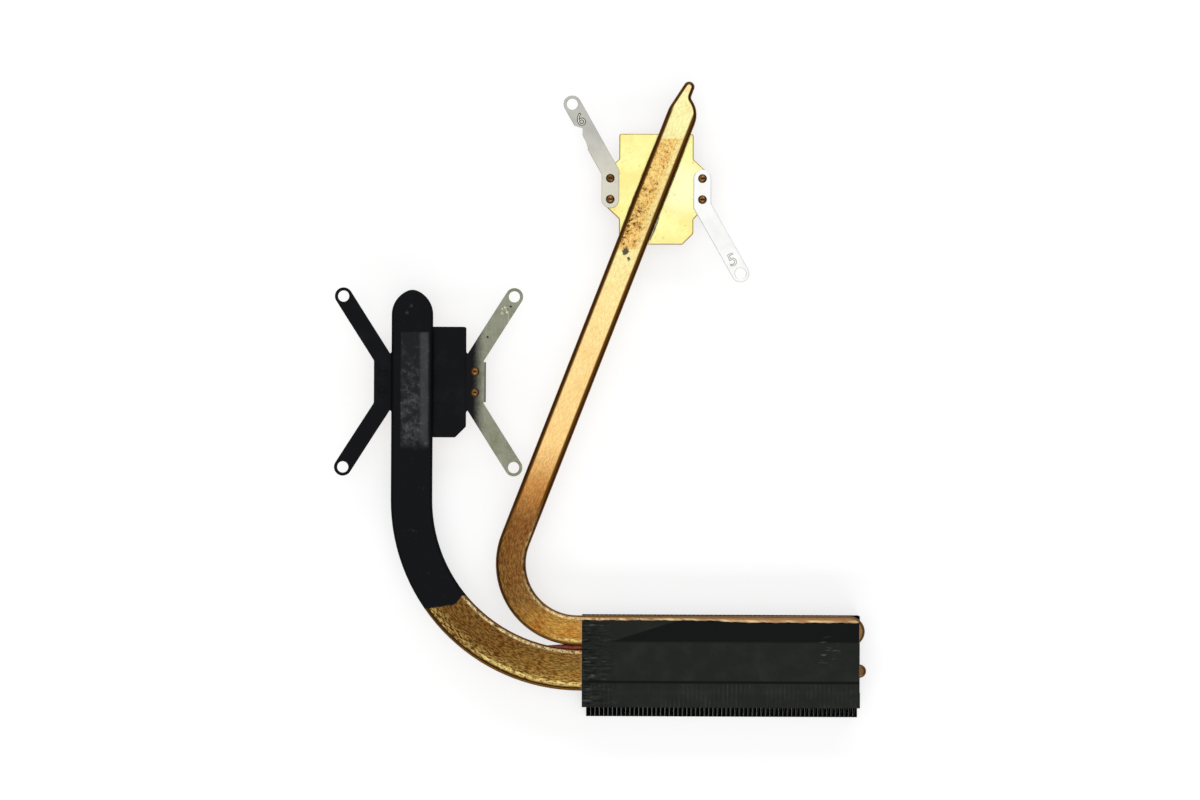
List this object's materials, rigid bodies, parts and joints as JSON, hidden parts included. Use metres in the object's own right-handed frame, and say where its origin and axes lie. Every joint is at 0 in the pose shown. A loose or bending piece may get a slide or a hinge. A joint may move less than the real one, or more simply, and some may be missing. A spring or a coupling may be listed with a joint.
{
  "type": "laptop heatsink",
  "caption": "Flat heat pipes joined to contact plates on sprung screw arms, carrying heat to a narrow finned block under black film, for cooling a laptop's chips.",
  "frame": {"origin": "centre of the processor plate's contact face, on the axis of the processor screw square", "axes": "+Z from the chips towards the pipes, +X along the fin stack towards the pipes' far ends, +Y away from the stack"},
  "size_m": [0.1465, 0.1753, 0.0092],
  "materials": {
    "bare_copper": "satin, drawn and pressed copper with brown tarnish",
    "painted_pipe": "matt black paint to just past the start of the bend, bare copper after it",
    "gold_plate": "bright stamped copper with a pale gold cast",
    "painted_plate": "matt black paint",
    "painted_spring": "matt black paint",
    "dull_spring_steel": "dull spring steel with black overspray on its inner edge",
    "bright_spring_steel": "bright spring steel",
    "rivet_copper": "upset copper",
    "black_fin": "black finned sheet",
    "film": "matt black film"
  },
  "bodies": {
    "root": {"cpu_heat_pipe": "painted_pipe", "gpu_heat_pipe": "bare_copper", "cpu_contact_plate": "painted_plate", "gpu_contact_plate": "gold_plate", "cpu_left_spring_bracket": "painted_spring", "cpu_right_spring_bracket": "dull_spring_steel", "gpu_upper_spring_arm": "bright_spring_steel", "gpu_lower_spring_arm": "bright_spring_steel", "fins": "black_fin", "left_end_fin": "black_fin", "right_end_fin": "black_fin", "fin_tape": "film", "cpu_left_rivet_1": "painted_spring", "cpu_left_rivet_2": "painted_spring", "cpu_right_rivet_1": "rivet_copper", "cpu_right_rivet_2": "rivet_copper", "gpu_left_rivet_1": "rivet_copper", "gpu_left_rivet_2": "rivet_copper", "gpu_right_rivet_1": "rivet_copper", "gpu_right_rivet_2": "rivet_copper"}
  },
  "joints": []
}
